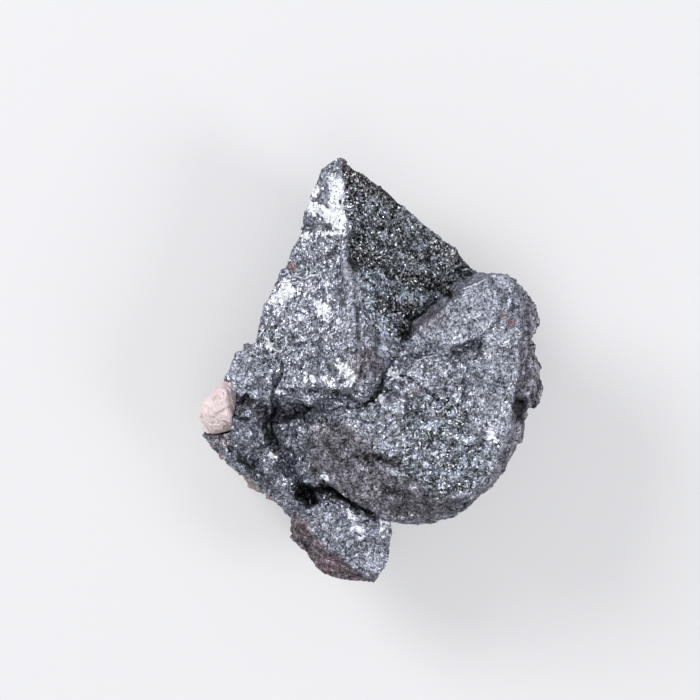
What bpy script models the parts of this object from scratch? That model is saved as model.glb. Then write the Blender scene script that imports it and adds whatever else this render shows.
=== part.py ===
"""Hand specimen of hematite in the shape of octahedral magnetite crystals, with a remnant of its host rock.

The stone lies on the flat back of its broadest crystal and shows its best side upwards. Seen from above,
+X is to the right and +Y to the top, and Z is the height above the surface that the stone rests on.
Outlines and heights below are in millimetres. A crystal is the convex hull of its corners: those of its
flat faces, whose heights come from the plane of each face, those of its girdle, and those of its foot.
"""

import math
import random

import bmesh
import bpy
from mathutils import Euler, Vector
from mathutils.bvhtree import BVHTree

MM = 0.001
GAP = 0.3  # clearance between the crystals and the host rock
SEED = 7  # for the small crystals
FAR = 40.0  # a distance beyond the stone on every side
LOWEST_GRAIN = 2.4  # no small crystal is centred lower than this
LYING = 54.7  # degrees that turn an octahedron on its corner to one lying on a face
SAME_PLANE = math.radians(0.1)  # neighbouring triangles that bend less than this are one flat face

# Planes of the large flat faces: height at the origin, rise per millimetre along X, rise along Y.
PEAK_LEFT_FACE = (23.2, 0.815, -0.27)
PEAK_RIGHT_FACE = (21.4, -0.74, -0.41)
SLAB_FACE = (19.6, -0.08, -0.05)
SLAB_LOW_FACE = (23.4, 0.38, 0.43)
TOE_FACE = (18.2, 0.14, 0.27)

# Surface: name, colour, roughness, metallic.
HEMATITE = ("hematite", (0.13, 0.135, 0.15, 1.0), 0.38, 0.75)
HOST_ROCK = ("host_rock", (0.72, 0.60, 0.57, 1.0), 0.9, 0.0)


def clear_scene():
    for thing in list(bpy.data.objects):
        bpy.data.objects.remove(thing)


def collection(name, shown=True):
    made = bpy.data.collections.new(name)
    bpy.context.scene.collection.children.link(made)
    made.hide_render = not shown
    return made


def material(surface):
    name, colour, roughness, metallic = surface
    made = bpy.data.materials.new(name)
    made.use_nodes = True
    shader = made.node_tree.nodes["Principled BSDF"]
    shader.inputs["Base Color"].default_value = colour
    shader.inputs["Roughness"].default_value = roughness
    shader.inputs["Metallic"].default_value = metallic
    return made


def on_face(plane, outline, lift=0.0):
    """Corners on a flat face, from their outline as seen from above."""
    return [(x, y, plane[0] + plane[1] * x + plane[2] * y + lift) for x, y in outline]


def at_height(outline, height):
    return [(x, y, height) for x, y in outline]


def tapered(outline, share, height, shift=(0.0, 0.0)):
    """The outline drawn in towards its middle to this share of its size, at a height."""
    middle_x = sum(p[0] for p in outline) / len(outline)
    middle_y = sum(p[1] for p in outline) / len(outline)
    return [
        (middle_x + (x - middle_x) * share + shift[0], middle_y + (y - middle_y) * share + shift[1], height)
        for x, y in outline
    ]


def swollen(corners, by):
    """Corners that enclose the same lump, grown outwards by a distance."""
    ways = (-by, by)
    return [(x + dx, y + dy, z + dz) for x, y, z in corners for dx in ways for dy in ways for dz in ways]


def new_object(name, bm, into):
    mesh = bpy.data.meshes.new(name)
    bmesh.ops.recalc_face_normals(bm, faces=bm.faces)
    bm.to_mesh(mesh)
    bm.free()
    made = bpy.data.objects.new(name, mesh)
    made.hide_render = into.hide_render
    made.display_type = "WIRE" if into.hide_render else "TEXTURED"
    into.objects.link(made)
    return made


def hull(name, corners, into):
    """A solid crystal or lump: the convex hull of its corners, given in millimetres."""
    bm = bmesh.new()
    for corner in corners:
        bm.verts.new(Vector(corner) * MM)
    made = bmesh.ops.convex_hull(bm, input=bm.verts)
    unused = [v for v in made["geom_interior"] if isinstance(v, bmesh.types.BMVert)]
    bmesh.ops.delete(bm, geom=unused, context="VERTS")
    bmesh.ops.dissolve_limit(bm, angle_limit=SAME_PLANE, verts=bm.verts, edges=bm.edges)
    return new_object(name, bm, into)


def octahedron(name, centre, radius, turn, into):
    """A whole octahedral crystal. Unturned it stands on a corner; the three turns are in degrees."""
    bm = bmesh.new()
    bmesh.ops.create_cone(bm, cap_ends=False, segments=4, radius1=radius * MM, radius2=0.0, depth=radius * MM)
    bmesh.ops.translate(bm, verts=bm.verts, vec=(0, 0, radius * MM / 2))
    bmesh.ops.mirror(bm, geom=bm.verts[:] + bm.edges[:] + bm.faces[:], axis="Z", merge_dist=1e-6)
    edge_to_axis = Euler((0, 0, math.radians(45))).to_matrix()
    rotation = Euler([math.radians(a) for a in turn]).to_matrix() @ edge_to_axis
    bmesh.ops.rotate(bm, verts=bm.verts, cent=(0, 0, 0), matrix=rotation)
    bmesh.ops.translate(bm, verts=bm.verts, vec=Vector(centre) * MM)
    return new_object(name, bm, into)


def layer(name, plane, outline, lift, into):
    """A growth layer on a flat face, with edges that slope up to its slightly smaller top."""
    thickness = 4.0
    top_share = 0.9
    middle = Vector((sum(p[0] for p in outline), sum(p[1] for p in outline))) / len(outline)
    top = [middle.lerp(Vector(point), top_share) for point in outline]
    corners = on_face(plane, outline) + on_face(plane, outline, -thickness) + on_face(plane, top, lift)
    return hull(name, corners, into)


def crevice(name, start, end, width, into):
    """A V-shaped cutter. start and end are on its sharp lower edge, and width is its opening 3 mm above."""
    along = (Vector(end) - Vector(start)).normalized()
    side = along.cross(Vector((0, 0, 1))).normalized()
    opening_height = 3.0
    corners = [start, end]
    for point in (Vector(start), Vector(end)):
        for height in (opening_height, FAR / 2):
            for way in (-0.5, 0.5):
                half_width = width * height / opening_height
                corners.append(point + Vector((0, 0, height)) + side * way * half_width)
    return hull(name, corners, into)


def pit(name, plane, deep_edge, far_edge, depth, into):
    """A wedge cutter: steep along its deep edge, and running out to nothing at its far edge."""
    corners = on_face(plane, deep_edge, -depth) + on_face(plane, far_edge, 0.02)
    corners += on_face(plane, deep_edge + far_edge, 2.0)
    return hull(name, corners, into)


def peak(into):
    """The upper crystal: a left and a right face that meet on a ridge running down from its tip."""
    ridge = [(-2.9, 18.9), (-1.0, -2.1)]
    left_edge = [
        (-6.3, 15.2), (-7.3, 13.0), (-9.1, 9.7), (-10.4, 7.0), (-11.8, 2.3), (-11.0, -1.0), (-9.5, -2.0),
    ]
    low_edge = [(-6.5, -2.0), (-2.5, -2.0)]
    right_edge = [(-0.4, 19.0), (3.3, 16.3), (6.8, 13.0), (10.8, 9.6), (1.0, 0.0), (-0.3, -1.1)]
    corners = on_face(PEAK_LEFT_FACE, ridge + left_edge + low_edge) + on_face(PEAK_RIGHT_FACE, right_edge)
    return hull("peak", corners + tapered(left_edge + right_edge, 0.62, 4.0, shift=(0.5, -1.5)), into)


def peak_tip(into):
    """The tip, a block of its own above a seam across the left face."""
    left_edge = [(-3.5, 21.1), (-5.1, 19.9), (-6.1, 17.6), (-6.9, 15.0), (-7.2, 13.3)]
    ridge = [(-3.0, 21.2), (-2.4, 13.2)]
    right_edge = [(0.3, 18.8), (2.9, 16.5), (1.0, 13.5)]
    corners = on_face(PEAK_LEFT_FACE, left_edge + ridge, 0.25) + on_face(PEAK_RIGHT_FACE, right_edge, 0.15)
    return hull("peak_tip", corners + tapered(left_edge + right_edge, 0.7, 7.0, shift=(0.6, -1.2)), into)


def peak_layers(into):
    """Growth layers: two steps on the right face and one on the left, with two ledges below it."""
    layers = (
        (
            "right_layer_1", PEAK_RIGHT_FACE, 0.7,
            [(-1.7, 10.9), (1.2, 10.9), (3.9, 9.5), (7.0, 7.9), (4.4, 5.9), (3.0, 4.0), (1.6, 1.0),
             (0.0, -1.4)],
        ),
        (
            "right_layer_2", PEAK_RIGHT_FACE, 1.3,
            [(-0.9, 7.0), (0.2, 7.7), (2.2, 5.9), (2.4, 2.7), (0.7, 0.0), (-0.6, -1.7)],
        ),
        (
            "left_layer", PEAK_LEFT_FACE, 0.3,
            [(-2.4, 8.6), (-4.8, 7.4), (-5.8, 4.0), (-4.4, 0.0), (-2.0, -1.2), (-1.9, 3.0)],
        ),
    )
    for name, plane, lift, outline in layers:
        layer(name, plane, outline, lift, into)
    hidden_edge = [(-1.0, 0.0), (-9.0, 0.0)]
    ledges = (
        (-1.3, [(-9.7, -2.6), (-7.0, -2.9), (-3.2, -3.0), (-0.4, -2.4), (0.6, -1.2)]),
        (-2.6, [(-9.6, -3.0), (-6.8, -3.5), (-3.5, -3.9), (-1.2, -3.5), (1.0, -1.8)]),
    )
    thickness = 4.0
    for number, (lift, edge) in enumerate(ledges, 1):
        outline = edge + hidden_edge
        corners = on_face(PEAK_LEFT_FACE, outline, lift) + on_face(PEAK_LEFT_FACE, outline, lift - thickness)
        hull(f"left_ledge_{number}", corners, into)


def slab(into):
    """The broadest crystal: a large flat face, a lower one that drops to the left, and a steep right side."""
    upper_left = [(10.1, 9.7), (5.2, 5.4), (2.4, 1.3), (0.6, -2.2), (-1.6, -4.5)]
    crease = [(-3.0, -5.4), (6.3, -13.3)]
    right_edge = [
        (13.0, 9.6), (14.9, 8.0), (14.8, 3.0), (14.5, -2.0), (13.8, -5.5), (12.8, -8.7), (11.3, -11.0),
    ]
    low_right = [(9.6, -12.5)]
    low_edge = [(-7.0, -6.0), (-6.9, -8.0), (-5.2, -10.8), (-2.7, -13.0), (1.3, -14.9), (4.0, -15.2)]
    side = [(15.9, 7.0), (16.1, 3.0), (16.0, -3.0), (15.0, -7.0), (13.9, -9.2), (12.6, -11.0), (9.7, -13.7)]
    low_side = [(7.9, -14.8), (6.0, -15.3), (3.0, -15.4)]
    waist = [(-4.6, -6.0), (2.0, -12.2), (9.4, -9.4), (13.2, -1.6), (11.4, 5.6), (4.4, 6.0)]
    foot = [(-4.0, -2.4), (-0.6, -7.6), (5.4, -7.8), (8.6, -2.2), (7.4, 3.2), (1.2, 3.6)]
    corners = on_face(SLAB_FACE, upper_left + right_edge + low_right)
    corners += on_face(SLAB_LOW_FACE, crease + low_edge)
    corners += at_height(side, 14.4) + at_height(low_side, 15.6)
    corners += at_height(waist, 6.0) + at_height(foot, 0.0)
    return hull("hematite_cluster", corners, into)


def slab_layers(into):
    """Steps on the slab: plates along its right side, and thin layers on its faces."""
    plates = (
        (16.6, 11.6, [(15.0, 8.6), (16.1, 7.0), (16.9, 4.6), (16.5, 3.4), (13.0, 2.6), (12.6, 8.4)]),
        (17.0, 13.2, [(15.6, 3.6), (16.3, 2.6), (16.7, 0.6), (16.4, -4.0), (13.0, -5.0), (12.4, 3.0)]),
        (15.4, 8.8, [(16.2, 1.2), (16.8, 0.4), (17.2, -1.8), (16.6, -3.9), (12.3, -5.5), (12.5, 1.0)]),
        (16.4, 12.6, [(15.4, -4.6), (14.9, -6.9), (13.8, -9.3), (12.2, -11.4), (9.0, -9.0), (12.6, -4.0)]),
    )
    for number, (top, bottom, outline) in enumerate(plates, 1):
        corners = at_height(outline, top) + tapered(outline, 0.7, bottom, shift=(-1.2, 0.0))
        hull(f"side_plate_{number}", corners, into)
    face_layer = [
        (4.0, 3.9), (6.4, 2.0), (7.6, 1.9), (10.6, 2.9), (12.0, 4.1), (12.9, 5.8),
        (13.0, 7.4), (11.8, 9.2), (10.0, 9.6), (8.2, 8.0), (5.7, 6.0),
    ]
    corner_layer = [(12.2, 9.6), (14.3, 8.9), (14.9, 7.2), (14.3, 4.6), (13.2, 5.2), (12.4, 7.6)]
    layer("face_layer", SLAB_FACE, face_layer, 0.45, into)
    layer("corner_layer", SLAB_FACE, corner_layer, 0.3, into)
    low_layers = (
        [(-6.7, -6.2), (-3.4, -5.8), (-1.3, -7.9), (-2.6, -9.9), (-4.6, -10.4), (-6.2, -8.8)],
        [(-2.2, -10.0), (0.4, -9.4), (2.4, -10.4), (4.9, -12.6), (4.2, -14.4), (0.8, -13.9), (-1.8, -12.6)],
    )
    for number, outline in enumerate(low_layers, 1):
        layer(f"low_layer_{number}", SLAB_LOW_FACE, outline, 0.35, into)


def toe(into):
    """The small crystal at the bottom, with a sharp upper edge and a duller face at the lower left."""
    face = [
        (-5.4, -12.0), (-1.2, -14.4), (1.8, -15.1), (1.6, -17.5), (1.1, -19.5), (0.4, -20.9),
        (-1.0, -20.4), (-3.7, -18.4), (-5.6, -16.9), (-7.1, -15.5), (-6.7, -13.8),
    ]
    girdle = [
        (-8.1, -14.5), (-8.0, -16.7), (-7.0, -18.0), (-5.5, -20.1), (-4.7, -20.7),
        (-2.2, -21.2), (0.3, -21.4), (1.3, -19.6), (1.9, -16.0),
    ]
    foot = tapered(girdle, 0.6, 5.0, shift=(0.8, 2.2))
    return hull("toe", on_face(TOE_FACE, face) + at_height(girdle, 9.8) + foot, into)


def knot_body(into):
    """The mass under the knot of small crystals on the left."""
    rim = [
        (-13.7, 1.5), (-14.4, -1.5), (-15.6, -5.6), (-17.0, -6.6), (-16.0, -8.0), (-14.6, -9.3),
        (-13.2, -10.4), (-12.0, -11.1), (-10.6, -11.8), (-9.7, -12.5), (-8.9, -13.9), (-8.1, -14.8),
    ]
    top = [
        (-12.0, 0.0), (-11.5, -4.0), (-9.0, -4.2), (-8.0, -7.0), (-9.0, -10.5), (-7.0, -12.0), (-12.2, -7.5),
    ]
    core = [(-2.0, 1.0), (-2.0, -12.0), (-5.0, -14.5)]
    corners = at_height(rim, 8.4) + at_height(top, 10.9) + at_height(core, 9.0)
    return hull("knot_body", corners + tapered(rim + core, 0.62, 2.2, shift=(2.4, 0.6)), into)


def knot_crystals(into):
    """The small crystals on the left: cut-off blocks with sloping tops, and whole octahedra."""
    blocks = (
        (
            (15.6, 0.18, -0.02), 7.0,
            [(-13.6, 1.6), (-12.2, 2.5), (-11.0, 2.2), (-10.4, 0.0), (-11.0, -3.2), (-12.6, -3.3),
             (-13.9, -2.2), (-14.3, -0.2)],
        ),
        (
            (16.2, 0.1, 0.22), 12.0,
            [(-11.9, 1.1), (-10.9, 1.0), (-10.2, 0.3), (-10.5, -0.6), (-11.5, -0.9), (-12.1, 0.1)],
        ),
        (
            (19.4, 0.42, 0.1), 9.0,
            [(-10.9, 1.0), (-9.6, 0.2), (-9.7, -1.6), (-10.1, -3.4), (-11.2, -3.0), (-11.4, -1.0)],
        ),
        (
            (14.9, 0.2, 0.1), 8.0,
            [(-13.7, -4.4), (-12.3, -3.9), (-10.6, -3.9), (-10.2, -5.3), (-12.0, -6.0), (-13.8, -5.6)],
        ),
        (
            (16.3, 0.3, 0.15), 7.5,
            [(-14.0, -5.6), (-12.4, -5.0), (-10.9, -5.8), (-10.6, -7.6), (-12.0, -8.3), (-13.6, -7.4)],
        ),
        (
            (16.2, 0.1, 0.1), 9.0,
            [(-7.9, -7.6), (-6.7, -7.7), (-5.9, -8.8), (-4.8, -10.8), (-5.6, -11.7), (-7.0, -10.4)],
        ),
        (
            (13.6, 0.18, 0.15), 6.5,
            [(-15.4, -6.6), (-13.8, -8.0), (-11.6, -9.4), (-9.0, -11.2), (-9.6, -12.4), (-13.2, -10.1),
             (-15.2, -8.0)],
        ),
    )
    for number, (plane, bottom, outline) in enumerate(blocks, 1):
        hull(f"knot_block_{number}", on_face(plane, outline) + tapered(outline, 0.85, bottom), into)
    whole = (
        ((-10.0, -8.7, 12.0), 1.5, (10, 25, 40)),
        ((-8.4, -6.2, 11.9), 1.8, (60, 15, 10)),
        ((-8.7, -11.0, 11.2), 1.6, (30, 40, 5)),
        ((-7.4, -12.9, 9.8), 1.7, (15, 10, 70)),
        ((-10.0, -11.0, 9.8), 1.4, (45, 20, 0)),
        ((-11.6, -4.9, 12.4), 1.1, (25, 5, 55)),
        ((-9.4, -1.0, 14.4), 0.9, (5, 30, 20)),
    )
    for number, (centre, radius, turn) in enumerate(whole, 1):
        octahedron(f"knot_octahedron_{number}", centre, radius, turn, into)


def single_crystals(into):
    """Single small octahedra that stand out on the seen side."""
    whole = (
        ((1.9, 0.1, 18.4), 1.0, (15, 35, 10)),
        ((0.9, -2.7, 19.0), 0.8, (40, 10, 30)),
        ((-0.2, -1.6, 18.6), 1.1, (20, 20, 65)),
        ((6.0, 7.3, 13.6), 1.0, (30, 5, 25)),
        ((14.3, 6.6, 18.6), 0.8, (50, 30, 0)),
        ((-6.2, -2.9, 18.0), 0.8, (10, 50, 35)),
    )
    for number, (centre, radius, turn) in enumerate(whole, 1):
        octahedron(f"single_octahedron_{number}", centre, radius, turn, into)


def back_crystals(into):
    """Crystals on the sides and underside."""
    whole = (
        ((11.2, 0.8, 8.6), 6.0, (4, LYING, 10)),
        ((10.0, 5.2, 6.6), 5.0, (-6, LYING + 8, 64)),
        ((10.2, -5.8, 5.8), 5.4, (8, LYING - 6, -20)),
        ((9.8, -7.8, 10.6), 4.6, (-4, LYING + 4, -46)),
        ((4.4, -10.4, 9.4), 5.4, (5, LYING, -86)),
        ((1.2, -9.4, 4.6), 4.6, (-8, LYING + 10, -118)),
        ((-1.6, -13.4, 8.2), 4.4, (6, LYING + 4, -100)),
        ((-5.2, -6.8, 6.4), 5.0, (6, LYING - 5, -150)),
        ((-6.8, 0.2, 6.8), 5.2, (5, LYING + 6, 172)),
        ((-5.4, 6.6, 7.4), 5.4, (-5, LYING, 148)),
        ((-2.8, 12.8, 8.2), 4.8, (8, LYING - 8, 112)),
        ((2.6, 10.6, 6.4), 5.2, (-4, LYING + 5, 70)),
        ((6.2, 8.4, 5.4), 4.4, (10, LYING, 38)),
        ((0.4, 3.8, 4.8), 5.2, (0, LYING, 95)),
        ((-3.4, -16.6, 7.8), 3.0, (-6, LYING + 6, -80)),
        ((-12.0, -0.8, 6.8), 3.2, (5, LYING, -175)),
    )
    for number, (centre, radius, turn) in enumerate(whole, 1):
        octahedron(f"back_octahedron_{number}", centre, radius, turn, into)


def cutters(into):
    """Crevices between the crystals, and shallow pits in their faces."""
    lines = (
        ((11.2, 10.6, 10.0), (3.9, 4.6, 13.2), 0.95),
        ((4.6, 5.4, 13.0), (1.4, -0.2, 15.6), 0.8),
        ((1.8, 0.6, 16.0), (-0.8, -3.4, 16.4), 0.7),
        ((0.2, -3.4, 17.4), (-6.4, -4.5, 14.0), 0.5),
        ((-5.6, -4.6, 13.0), (-9.2, -3.9, 11.0), 0.95),
        ((-7.9, -4.6, 11.2), (-8.9, -9.4, 10.0), 0.6),
        ((-9.6, 1.4, 12.4), (-9.8, -3.2, 11.6), 0.45),
        ((-5.6, -12.1, 10.6), (0.4, -15.6, 11.6), 0.5),
        ((-7.0, -10.6, 9.4), (-5.6, -13.2, 8.8), 0.9),
        ((-13.4, -3.3, 12.2), (-12.2, -3.4, 12.4), 1.2),
        ((15.1, -3.6, 13.6), (15.5, -5.4, 12.8), 0.6),
        ((16.2, -3.0, 13.0), (15.7, -4.4, 12.6), 0.5),
    )
    for number, (start, end, width) in enumerate(lines, 1):
        crevice(f"crevice_{number}", start, end, width, into)
    wedges = (
        (SLAB_FACE, 0.6, [(7.4, 1.7), (9.0, 2.6), (10.8, 2.9)], [(10.4, 0.4), (9.2, -0.6), (8.0, 0.0)]),
        (SLAB_LOW_FACE, 0.5, [(-1.9, -8.6), (-0.6, -8.3), (0.4, -8.9)], [(0.2, -9.7), (-1.4, -9.8)]),
    )
    for number, (plane, depth, deep_edge, far_edge) in enumerate(wedges, 1):
        pit(f"pit_{number}", plane, deep_edge, far_edge, depth, into)


def rock_lumps():
    """Corners of the lumps that make up the host rock: a knob on the far left, and a thin rim below it."""
    knob = [
        (-16.2, -4.6, 11.2), (-15.0, -2.5, 11.4), (-14.2, -4.8, 11.7), (-17.1, -5.2, 8.6), (-17.1, -4.0, 9.6),
        (-15.9, -2.4, 9.4), (-14.7, -1.5, 8.8), (-16.0, -6.3, 9.0), (-14.0, -6.0, 9.2), (-13.8, -2.0, 9.0),
        (-16.4, -5.4, 5.2), (-14.9, -2.3, 5.6), (-13.6, -4.4, 4.4), (-14.4, -6.2, 4.8),
    ]
    rim_top = [
        (-17.1, -5.7, 6.4), (-16.0, -7.6, 6.9), (-13.8, -10.2, 6.2), (-12.4, -11.7, 6.8), (-11.0, -12.6, 6.6),
        (-9.9, -13.1, 6.0), (-9.2, -13.5, 5.6), (-8.4, -11.0, 6.4), (-11.5, -6.5, 7.0), (-14.0, -3.6, 6.4),
    ]
    rim_foot = [
        (-16.2, -6.0, 3.8), (-14.2, -8.8, 2.4), (-12.0, -10.9, 3.0), (-10.2, -12.2, 3.6),
        (-9.0, -10.0, 1.6), (-12.4, -6.4, 1.2), (-14.6, -5.0, 2.6),
    ]
    return {"knob": knob, "rim": rim_top + rim_foot}


def small_crystals(host, into):
    """Little octahedra grown on the host, set with a seeded chance where the stone is rough."""
    chance = random.Random(SEED)
    bm = bmesh.new()
    bm.from_mesh(host.data)
    surface = BVHTree.FromBMesh(bm)
    bm.free()

    def grow(start, way, smallest, largest):
        spot, normal, _, _ = surface.ray_cast(Vector(start) * MM, Vector(way))
        radius = chance.uniform(smallest, largest)
        turn = [chance.uniform(0, 90) for _ in range(3)]
        if spot is None:
            return
        centre = spot / MM - normal * radius * 0.45
        if centre.z > LOWEST_GRAIN:
            octahedron(f"small_octahedron_{len(into.objects)}", centre, radius, turn, into)

    # From above: middle of the patch, its half widths, how many crystals, smallest and largest radius.
    patches = (
        ((-10.4, -7.6), (3.6, 3.4), 18, 0.4, 0.7),
        ((-8.2, -3.9), (1.6, 1.0), 6, 0.4, 0.6),
        ((-12.4, -0.6), (1.6, 2.2), 6, 0.3, 0.6),
        ((-4.0, -3.4), (4.0, 0.7), 8, 0.3, 0.5),
        ((1.6, -0.8), (1.4, 2.4), 8, 0.3, 0.6),
        ((5.6, 6.0), (2.6, 2.0), 8, 0.3, 0.6),
        ((4.0, 12.0), (3.6, 3.0), 6, 0.3, 0.6),
        ((15.2, 0.0), (1.0, 7.0), 8, 0.3, 0.6),
        ((8.0, -13.4), (4.0, 1.2), 6, 0.3, 0.6),
    )
    for (x, y), (half_x, half_y), count, smallest, largest in patches:
        for _ in range(count):
            start = (x + chance.uniform(-half_x, half_x), y + chance.uniform(-half_y, half_y), FAR)
            grow(start, (0, 0, -1), smallest, largest)
    # From all sides, aimed inwards at a line through the middle of the stone.
    on_the_sides = 48
    for number in range(on_the_sides):
        angle = math.tau * (number + chance.random()) / on_the_sides
        height = chance.uniform(3.0, 10.0)
        start = (FAR * math.cos(angle), FAR * math.sin(angle), height)
        grow(start, (-math.cos(angle), -math.sin(angle), 0), 0.6, 1.3)


def boolean(target, operands, operation):
    """Joins or cuts the target with every object of a collection, and applies the result."""
    change = target.modifiers.new(operation.lower(), "BOOLEAN")
    change.operation = operation
    change.solver = "EXACT"
    change.operand_type = "COLLECTION"
    change.collection = operands
    graph = bpy.context.evaluated_depsgraph_get()
    graph.update()
    result = bpy.data.meshes.new_from_object(target.evaluated_get(graph))
    target.modifiers.clear()
    target.data = result


def bodies(bm):
    """The separate bodies of a mesh, as sets of points."""
    left = set(bm.verts)
    found = []
    while left:
        body = set()
        edge_of_search = [left.pop()]
        while edge_of_search:
            point = edge_of_search.pop()
            body.add(point)
            near = {edge.other_vert(point) for edge in point.link_edges} & left
            left -= near
            edge_of_search.extend(near)
        found.append(body)
    return found


def finish(node, surface):
    """Drops chips that the cutters left loose, makes all faces triangles, and gives the node its material."""
    bm = bmesh.new()
    bm.from_mesh(node.data)
    chips = sorted(bodies(bm), key=len)[:-1]
    for chip in chips:
        bmesh.ops.delete(bm, geom=list(chip), context="VERTS")
    bmesh.ops.triangulate(bm, faces=bm.faces)
    bm.to_mesh(node.data)
    bm.free()
    node.data.materials.clear()
    node.data.materials.append(material(surface))


def centre_on_origin(nodes):
    """Moves the stone so that the origin is the middle of its box, on the surface it rests on."""
    corners = [v.co for node in nodes for v in node.data.vertices]
    low = Vector([min(c[axis] for c in corners) for axis in range(3)])
    high = Vector([max(c[axis] for c in corners) for axis in range(3)])
    shift = Vector((-(low.x + high.x) / 2, -(low.y + high.y) / 2, -low.z))
    for node in nodes:
        for vertex in node.data.vertices:
            vertex.co += shift


def main():
    clear_scene()
    specimen = collection("hematite_specimen")
    crystals = collection("crystals", shown=False)
    cuts = collection("cuts", shown=False)
    grains = collection("grains", shown=False)
    rock_parts = collection("rock_parts", shown=False)
    pocket = collection("pocket", shown=False)

    cluster = slab(specimen)
    peak(crystals)
    peak_tip(crystals)
    peak_layers(crystals)
    slab_layers(crystals)
    toe(crystals)
    knot_body(crystals)
    knot_crystals(crystals)
    single_crystals(crystals)
    back_crystals(crystals)
    cutters(cuts)
    boolean(cluster, crystals, "UNION")
    boolean(cluster, cuts, "DIFFERENCE")
    small_crystals(cluster, grains)
    boolean(cluster, grains, "UNION")

    lumps = rock_lumps()
    for name, corners in lumps.items():
        hull(f"{name}_pocket", swollen(corners, GAP), pocket)
    boolean(cluster, pocket, "DIFFERENCE")
    rock = hull("host_rock", lumps.pop("rim"), specimen)
    for name, corners in lumps.items():
        hull(name, corners, rock_parts)
    boolean(rock, rock_parts, "UNION")

    finish(cluster, HEMATITE)
    finish(rock, HOST_ROCK)
    centre_on_origin([cluster, rock])


main()
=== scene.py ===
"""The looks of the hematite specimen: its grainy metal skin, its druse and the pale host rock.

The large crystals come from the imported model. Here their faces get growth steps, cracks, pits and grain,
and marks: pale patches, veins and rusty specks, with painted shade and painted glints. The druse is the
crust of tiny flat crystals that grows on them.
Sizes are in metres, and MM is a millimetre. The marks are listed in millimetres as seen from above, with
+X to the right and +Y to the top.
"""

import math
import random

import bmesh
import bpy
import numpy as np
from mathutils import Euler, Matrix, Vector, noise
from mathutils.bvhtree import BVHTree


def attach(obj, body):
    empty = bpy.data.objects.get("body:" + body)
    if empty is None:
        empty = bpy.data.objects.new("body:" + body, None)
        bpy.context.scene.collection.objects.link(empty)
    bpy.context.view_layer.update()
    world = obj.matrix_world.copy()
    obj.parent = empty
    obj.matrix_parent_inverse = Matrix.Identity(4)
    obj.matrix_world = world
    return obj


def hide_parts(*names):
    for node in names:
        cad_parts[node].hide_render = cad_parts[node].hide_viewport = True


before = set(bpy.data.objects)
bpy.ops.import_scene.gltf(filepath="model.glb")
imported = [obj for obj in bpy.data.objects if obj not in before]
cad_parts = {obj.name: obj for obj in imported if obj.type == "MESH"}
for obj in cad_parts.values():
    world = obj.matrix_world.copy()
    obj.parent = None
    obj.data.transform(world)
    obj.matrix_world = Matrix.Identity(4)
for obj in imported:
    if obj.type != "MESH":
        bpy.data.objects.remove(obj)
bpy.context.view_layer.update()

MM = 0.001
SEED = 11
ABOVE = 0.1  # a height over the whole stone
DOWN = Vector((0, 0, -1))

STONE_VOXEL = 0.228 * MM
SIDEWAYS = 0.055  # how far the skin's points are shifted along it, in millimetres
ROCK_VOXEL = 0.16 * MM
ROCK_GAP = 0.36 * MM  # how far the rock is grown, to close the working gap around it

KEY_POWER = 2.9
SIDE_POWER = 1.3
TOP_POWER = 1.4
SKY = (0.50, 0.505, 0.53, 1.0)
FLOOR_COLOUR = (0.42, 0.42, 0.43, 1.0)
FLOOR_LIGHT = (0.985, 0.985, 1.0, 1.0)
FLOOR_GLOW = 0.34
FLOOR_REACH = 5.0

CAMERA_TARGET = Vector((-2.2, 2.0, 11.0)) * MM
CAMERA_DISTANCE = 1.4
FRAME_WIDTH = 70.0 * MM
SENSOR_WIDTH = 36.0

# Colours, as red, green, blue and cover.
STEEL = ((0.220, 0.234, 0.278, 1), (0.294, 0.309, 0.358, 1))
DEEP_STEEL = (0.235, 0.262, 0.312, 1)
# A painted highlight: the near-white of grains that flash.
PAINTED_GLINT = (0.94, 0.97, 1.0, 1)
EDGE = (0.45, 0.46, 0.50, 1)
BROWN = (0.150, 0.103, 0.113, 1)
PALE = ((0.46, 0.48, 0.52, 1), (0.88, 0.90, 0.94, 1))
RUST = (0.30, 0.10, 0.09, 1)
ROCK = ((0.75, 0.66, 0.65, 1), (0.63, 0.51, 0.50, 1))
ROCK_PITS = (0.36, 0.29, 0.29, 1)
# Darker along the low rim: partly dirty, partly painted shade.
ROCK_DIRT_AND_SHADE = (0.14, 0.11, 0.12, 1)

# Crevices and cracks: half width, depth, and the line that they follow.
CREVICES = (
    (0.60, 0.8, [(5.6, 8.2), (7.8, 7.3)]),
    (0.35, 0.5, [(1.3, -0.1), (0.8, -1.6), (0.0, -2.8), (-1.0, -3.3)]),
    (0.35, 0.2, [(-10.0, -3.2), (-8.7, -3.8), (-7.2, -4.2), (-5.2, -4.4), (-2.7, -4.2), (-1.2, -3.5)]),
    (0.25, 0.8, [(-8.9, 0.7), (-9.3, -0.3), (-9.7, -1.6), (-10.0, -2.8)]),
    (0.40, 0.7, [(-9.7, -3.5), (-10.2, -5.5), (-9.9, -7.5), (-8.9, -8.2)]),
    (0.40, 0.8, [(-5.6, -11.7), (-4.0, -11.9), (-2.5, -12.8), (-1.2, -13.9), (0.1, -14.6)]),
    (0.70, 0.9, [(-7.4, -11.8), (-6.2, -12.2), (-6.0, -13.0)]),
    (0.30, 0.4, [(-14.1, -7.7), (-13.2, -9.0), (-12.2, -10.0), (-11.2, -10.7)]),
    (0.25, 0.7, [(-13.4, -3.2), (-12.6, -2.8)]),
    (0.20, 0.5, [(-13.9, -4.5), (-13.1, -4.9), (-12.2, -4.6)]),
    (0.30, 0.6, [(15.2, -2.8), (14.7, -3.9), (14.8, -4.9)]),
    (0.30, 0.4, [(15.3, 7.6), (15.4, 5.0), (15.4, 2.5), (15.2, 0.0), (15.0, -1.6)]),
    (0.25, 0.5, [(16.0, -2.4), (15.5, -3.8)]),
    (0.20, 0.4, [(-11.9, 1.4), (-11.0, 0.7), (-10.0, 0.3)]),
)

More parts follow.
